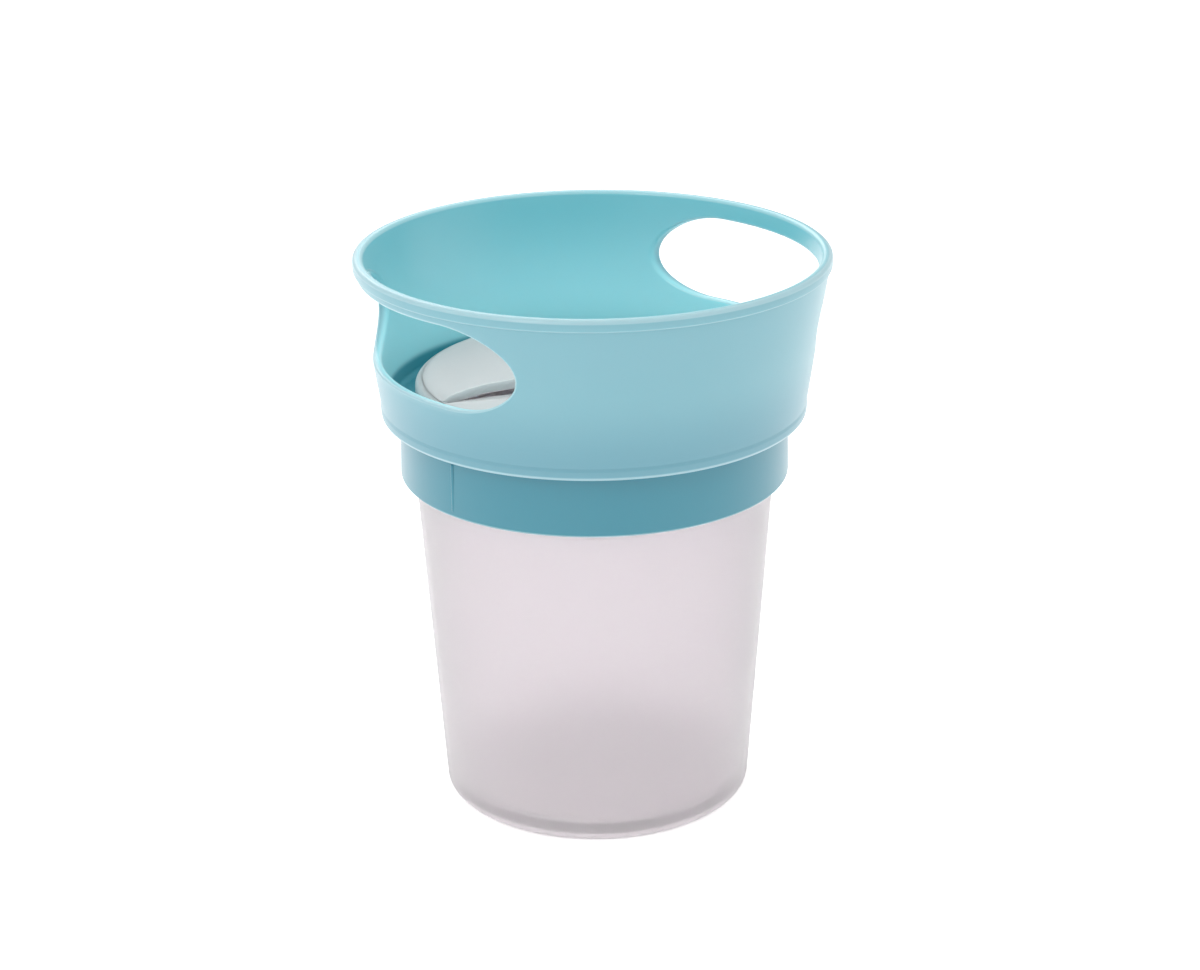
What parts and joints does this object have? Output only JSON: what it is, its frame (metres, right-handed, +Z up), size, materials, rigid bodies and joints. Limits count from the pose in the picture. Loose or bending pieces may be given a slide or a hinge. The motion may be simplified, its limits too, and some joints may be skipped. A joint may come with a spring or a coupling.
{
  "type": "toddler snack container",
  "caption": "Spill-resistant snack cup: a tapered translucent cup with a screw-on collar whose wide hood has two handholds round a soft slit diaphragm that a small hand pushes through.",
  "frame": {"origin": "centre of the foot, on the surface that the cup stands on", "axes": "+Z up along the cup's axis; the two handholds face +X and -X; the closing mark on the skirt is near -X, turned 17 degrees towards -Y"},
  "size_m": [0.114, 0.114, 0.1383],
  "materials": {
    "cup_plastic": "frosted translucent polypropylene, faint pink-lavender haze",
    "collar_plastic": "translucent aqua polypropylene, satin",
    "diaphragm_rubber": "matt white soft elastomer",
    "ring_plastic": "white polypropylene, satin"
  },
  "bodies": {
    "cup": {"cup": "cup_plastic"},
    "retaining_ring": {"retaining_ring": "ring_plastic"},
    "collar": {"collar": "collar_plastic", "diaphragm": "diaphragm_rubber"},
    "flap_front_left": {"flap_front_left": "diaphragm_rubber"},
    "flap_front_right": {"flap_front_right": "diaphragm_rubber"},
    "flap_back_right": {"flap_back_right": "diaphragm_rubber"},
    "flap_back_left": {"flap_back_left": "diaphragm_rubber"}
  },
  "joints": [
    {"name": "collar_lift", "type": "slide", "parent": "cup", "child": "retaining_ring", "axis": [0, 0, 1], "range_m": [0, 0.016]},
    {"name": "collar_turn", "type": "hinge", "parent": "retaining_ring", "child": "collar", "pos_m": [0, 0, 0.1], "axis": [0, 0, 1], "range_deg": [0, 360]},
    {"name": "flap_bend_front_left", "type": "hinge", "parent": "collar", "child": "flap_front_left", "pos_m": [-0.0185, -0.0185, 0.1074], "axis": [-0.7071, 0.7071, 0], "range_deg": [-43, 52], "stiffness_Nm_per_rad": 0.02},
    {"name": "flap_bend_front_right", "type": "hinge", "parent": "collar", "child": "flap_front_right", "pos_m": [0.0185, -0.0185, 0.1074], "axis": [-0.7071, -0.7071, 0], "range_deg": [-40, 55], "stiffness_Nm_per_rad": 0.02},
    {"name": "flap_bend_back_right", "type": "hinge", "parent": "collar", "child": "flap_back_right", "pos_m": [0.0185, 0.0185, 0.1074], "axis": [0.7071, -0.7071, 0], "range_deg": [-38, 57], "stiffness_Nm_per_rad": 0.02},
    {"name": "flap_bend_back_left", "type": "hinge", "parent": "collar", "child": "flap_back_left", "pos_m": [-0.0185, 0.0185, 0.1074], "axis": [0.7071, 0.7071, 0], "range_deg": [-36, 59], "stiffness_Nm_per_rad": 0.02}
  ],
  "couplings": [
    {"joint": "collar_lift", "follows": "collar_turn", "m_per_rad": 0.002546}
  ]
}
